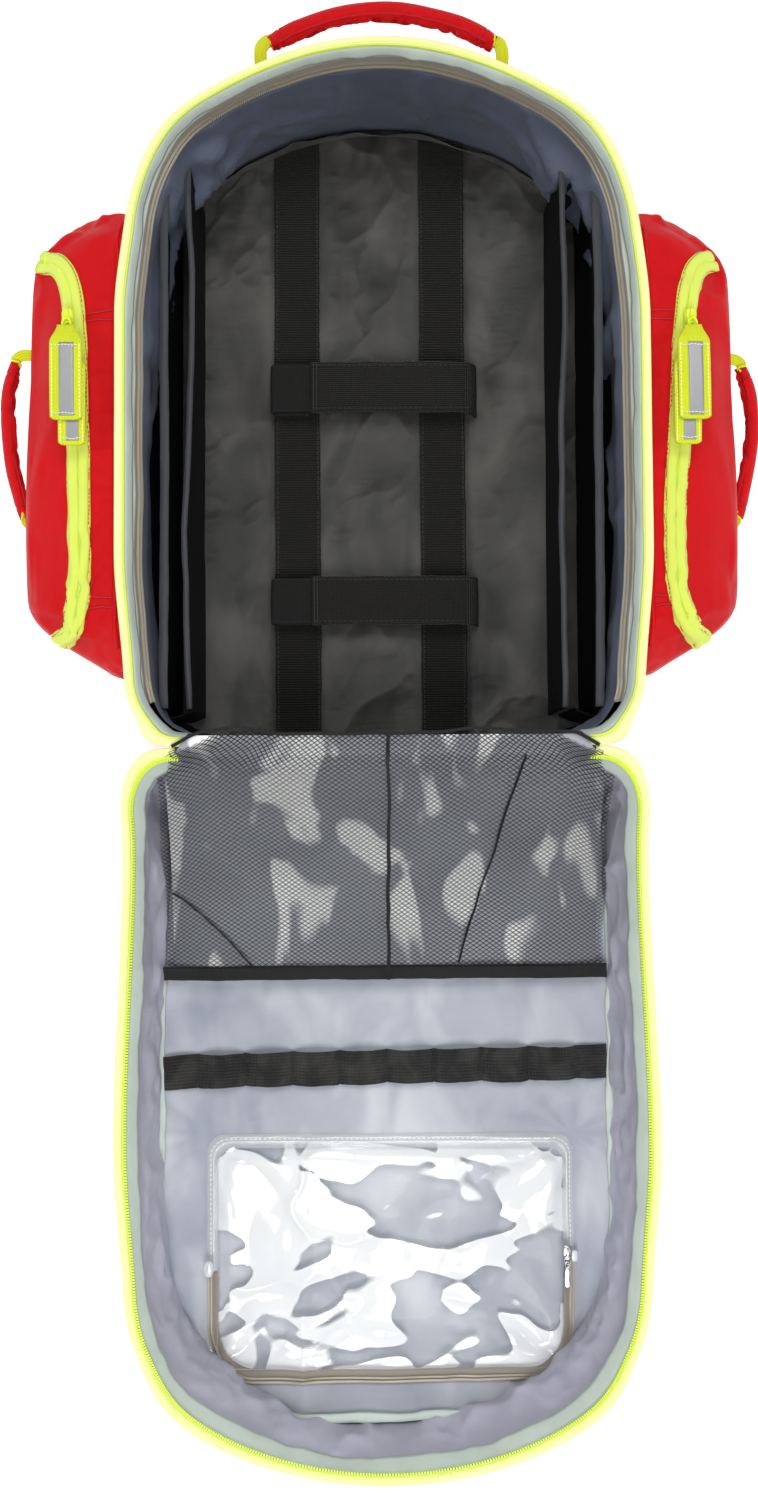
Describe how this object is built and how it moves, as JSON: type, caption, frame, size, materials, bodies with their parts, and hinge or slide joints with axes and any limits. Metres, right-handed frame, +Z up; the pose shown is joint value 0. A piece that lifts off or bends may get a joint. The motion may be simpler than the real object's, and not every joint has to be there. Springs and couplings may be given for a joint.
{
  "type": "trauma backpack",
  "caption": "Clamshell trauma backpack opened flat: lined body with side pockets, bottle straps and handles, and a lid with mesh, elastic loops and a clear pocket.",
  "frame": {"origin": "centre of the open bag's footprint, on the surface it lies on", "axes": "+X across the bag, +Y from the lid towards the carrying handle, +Z up out of the open compartments"},
  "size_m": [0.608, 1.1348, 0.1715],
  "materials": {
    "red_fabric": "coated nylon, slight gloss",
    "lime_tape": "bright woven zip tape",
    "lime_webbing": "ribbed webbing",
    "lime_coil": "moulded coil",
    "olive_coil": "moulded coil",
    "grey_lining": "thin nylon lining",
    "pale_strip": "thin nylon strip",
    "grey_satin": "satin nylon over foam",
    "black_satin": "satin nylon, wrinkled",
    "black_webbing": "loop-faced webbing",
    "black_mesh": "knitted mesh",
    "elastic": "woven elastic",
    "clear_film": "clear soft film",
    "board_plastic": "stiffening sheet",
    "pad_mesh": "spacer mesh over foam",
    "slider_metal": "cast slider",
    "slider_lime": "painted slider"
  },
  "bodies": {
    "main_body": {"body_shell": "red_fabric", "back_board": "board_plastic", "back_panel_lining": "black_satin", "body_lining": "grey_lining", "body_rim_tape": "lime_tape", "body_zip_chain": "lime_coil", "storm_flap": "pale_strip", "inner_zip_coil": "olive_coil", "side_divider_left": "black_satin", "side_divider_right": "black_satin", "side_sleeve_left": "grey_lining", "side_sleeve_right": "grey_lining", "loop_tapes": "black_webbing", "bottle_strap_anchors": "black_webbing", "side_pocket_left": "red_fabric", "side_pocket_right": "red_fabric", "side_pocket_left_zip": "lime_tape", "side_pocket_right_zip": "lime_tape", "hinge_strip": "black_satin", "back_pads": "pad_mesh"},
    "lid": {"lid_shell": "red_fabric", "lid_lining": "grey_lining", "lid_rim_tape": "lime_tape", "lid_zip_chain": "lime_coil", "lid_panel": "grey_satin", "mesh_pocket": "black_mesh", "mesh_pocket_hem": "black_webbing", "elastic_loops": "elastic", "clear_pocket": "clear_film", "clear_pocket_zip": "olive_coil", "front_pocket": "red_fabric", "front_pocket_zip": "lime_tape"},
    "top_handle": {"top_handle": "red_fabric", "top_handle_webbing": "lime_webbing"},
    "side_handle_left": {"side_handle_left": "red_fabric", "side_handle_left_webbing": "lime_webbing"},
    "side_handle_right": {"side_handle_right": "red_fabric", "side_handle_right_webbing": "lime_webbing"},
    "bottle_strap_upper_flap": {"bottle_strap_upper_flap": "black_webbing"},
    "bottle_strap_lower_flap": {"bottle_strap_lower_flap": "black_webbing"},
    "clear_pocket_slider": {"clear_pocket_slider": "slider_metal"},
    "clear_pocket_puller": {"clear_pocket_puller": "slider_metal"},
    "front_pocket_slider": {"front_pocket_slider": "slider_lime"},
    "front_pocket_tab": {"front_pocket_tab": "lime_webbing"},
    "shoulder_strap_left": {"shoulder_strap_left": "pad_mesh", "strap_webbing_left": "black_webbing"},
    "shoulder_strap_right": {"shoulder_strap_right": "pad_mesh", "strap_webbing_right": "black_webbing"},
    "side_pocket_left_slider_upper": {"side_pocket_left_slider_upper": "slider_lime"},
    "side_pocket_left_slider_lower": {"side_pocket_left_slider_lower": "slider_lime"},
    "side_pocket_left_tab_upper": {"side_pocket_left_tab_upper": "lime_webbing"},
    "side_pocket_left_tab_lower": {"side_pocket_left_tab_lower": "lime_webbing"},
    "main_slider_left": {"main_slider_left": "slider_lime"},
    "main_tab_left": {"main_tab_left": "lime_webbing"},
    "side_pocket_right_slider_upper": {"side_pocket_right_slider_upper": "slider_lime"},
    "side_pocket_right_slider_lower": {"side_pocket_right_slider_lower": "slider_lime"},
    "side_pocket_right_tab_upper": {"side_pocket_right_tab_upper": "lime_webbing"},
    "side_pocket_right_tab_lower": {"side_pocket_right_tab_lower": "lime_webbing"},
    "main_slider_right": {"main_slider_right": "slider_lime"},
    "main_tab_right": {"main_tab_right": "lime_webbing"}
  },
  "joints": [
    {"name": "lid_hinge", "type": "hinge", "parent": "main_body", "child": "lid", "pos_m": [0, -0.0299, 0.17], "axis": [-1, 0, 0], "range_deg": [0, 180]},
    {"name": "top_handle_swing", "type": "hinge", "parent": "main_body", "child": "top_handle", "pos_m": [0, 0.4959, 0.11], "axis": [1, 0, 0], "range_deg": [-65, 65]},
    {"name": "side_handle_left_swing", "type": "hinge", "parent": "main_body", "child": "side_handle_left", "pos_m": [-0.2746, 0.2194, 0.092], "axis": [0, 1, 0], "range_deg": [-60, 60]},
    {"name": "side_handle_right_swing", "type": "hinge", "parent": "main_body", "child": "side_handle_right", "pos_m": [0.2746, 0.2194, 0.092], "axis": [0, -1, 0], "range_deg": [-60, 60]},
    {"name": "bottle_strap_upper_open", "type": "hinge", "parent": "main_body", "child": "bottle_strap_upper_flap", "pos_m": [0.082, 0.2804, 0.035], "axis": [0, 1, 0], "range_deg": [0, 105]},
    {"name": "bottle_strap_lower_open", "type": "hinge", "parent": "main_body", "child": "bottle_strap_lower_flap", "pos_m": [0.082, 0.0984, 0.035], "axis": [0, 1, 0], "range_deg": [0, 105]},
    {"name": "clear_pocket_zip_slide", "type": "slide", "parent": "lid", "child": "clear_pocket_slider", "axis": [0, -1, 0], "range_m": [0, 0.06]},
    {"name": "clear_pocket_puller_swing", "type": "hinge", "parent": "clear_pocket_slider", "child": "clear_pocket_puller", "pos_m": [0.139, -0.4286, 0.1065], "axis": [-1, 0, 0], "range_deg": [0, 120]},
    {"name": "front_pocket_zip_slide", "type": "slide", "parent": "lid", "child": "front_pocket_slider", "axis": [0, -1, 0], "range_m": [0, 0.22]},
    {"name": "front_pocket_tab_swing", "type": "hinge", "parent": "front_pocket_slider", "child": "front_pocket_tab", "pos_m": [-0.1737, -0.1868, 0.058], "axis": [0, 0, -1], "range_deg": [0, 80]},
    {"name": "shoulder_strap_left_swing", "type": "hinge", "parent": "main_body", "child": "shoulder_strap_left", "pos_m": [-0.094, 0.4274, 0.0116], "axis": [1, 0, 0], "range_deg": [0, 35]},
    {"name": "shoulder_strap_right_swing", "type": "hinge", "parent": "main_body", "child": "shoulder_strap_right", "pos_m": [0.094, 0.4274, 0.0116], "axis": [1, 0, 0], "range_deg": [0, 35]},
    {"name": "side_pocket_left_zip_up", "type": "slide", "parent": "main_body", "child": "side_pocket_left_slider_upper", "axis": [0, 1, 0], "range_m": [0, 0.04]},
    {"name": "side_pocket_left_zip_down", "type": "slide", "parent": "main_body", "child": "side_pocket_left_slider_lower", "axis": [0, -1, 0], "range_m": [0, 0.19]},
    {"name": "side_pocket_left_tab_upper_swing", "type": "hinge", "parent": "side_pocket_left_slider_upper", "child": "side_pocket_left_tab_upper", "pos_m": [-0.231, 0.2944, 0.1603], "axis": [-1, 0, 0], "range_deg": [0, 100]},
    {"name": "side_pocket_left_tab_lower_swing", "type": "hinge", "parent": "side_pocket_left_slider_lower", "child": "side_pocket_left_tab_lower", "pos_m": [-0.231, 0.2794, 0.1573], "axis": [-1, 0, 0], "range_deg": [0, 100]},
    {"name": "main_slider_left_run", "type": "hinge", "parent": "main_body", "child": "main_slider_left", "pos_m": [-0.15, 0.0214, 0.162], "axis": [0, 0, -1], "range_deg": [0, 55]},
    {"name": "main_tab_left_swing", "type": "hinge", "parent": "main_slider_left", "child": "main_tab_left", "pos_m": [-0.179, -0.0299, 0.1564], "axis": [0, 1, 0], "range_deg": [0, 85]},
    {"name": "side_pocket_right_zip_up", "type": "slide", "parent": "main_body", "child": "side_pocket_right_slider_upper", "axis": [0, 1, 0], "range_m": [0, 0.04]},
    {"name": "side_pocket_right_zip_down", "type": "slide", "parent": "main_body", "child": "side_pocket_right_slider_lower", "axis": [0, -1, 0], "range_m": [0, 0.19]},
    {"name": "side_pocket_right_tab_upper_swing", "type": "hinge", "parent": "side_pocket_right_slider_upper", "child": "side_pocket_right_tab_upper", "pos_m": [0.231, 0.2944, 0.1603], "axis": [-1, 0, 0], "range_deg": [0, 100]},
    {"name": "side_pocket_right_tab_lower_swing", "type": "hinge", "parent": "side_pocket_right_slider_lower", "child": "side_pocket_right_tab_lower", "pos_m": [0.231, 0.2794, 0.1573], "axis": [-1, 0, 0], "range_deg": [0, 100]},
    {"name": "main_slider_right_run", "type": "hinge", "parent": "main_body", "child": "main_slider_right", "pos_m": [0.15, 0.0214, 0.162], "axis": [0, 0, 1], "range_deg": [0, 55]},
    {"name": "main_tab_right_swing", "type": "hinge", "parent": "main_slider_right", "child": "main_tab_right", "pos_m": [0.179, -0.0299, 0.1564], "axis": [0, -1, 0], "range_deg": [0, 85]}
  ],
  "couplings": [
    {"joint": "side_pocket_left_tab_lower_swing", "follows": "side_pocket_left_tab_upper_swing", "ratio": 1},
    {"joint": "side_pocket_right_tab_lower_swing", "follows": "side_pocket_right_tab_upper_swing", "ratio": 1}
  ]
}
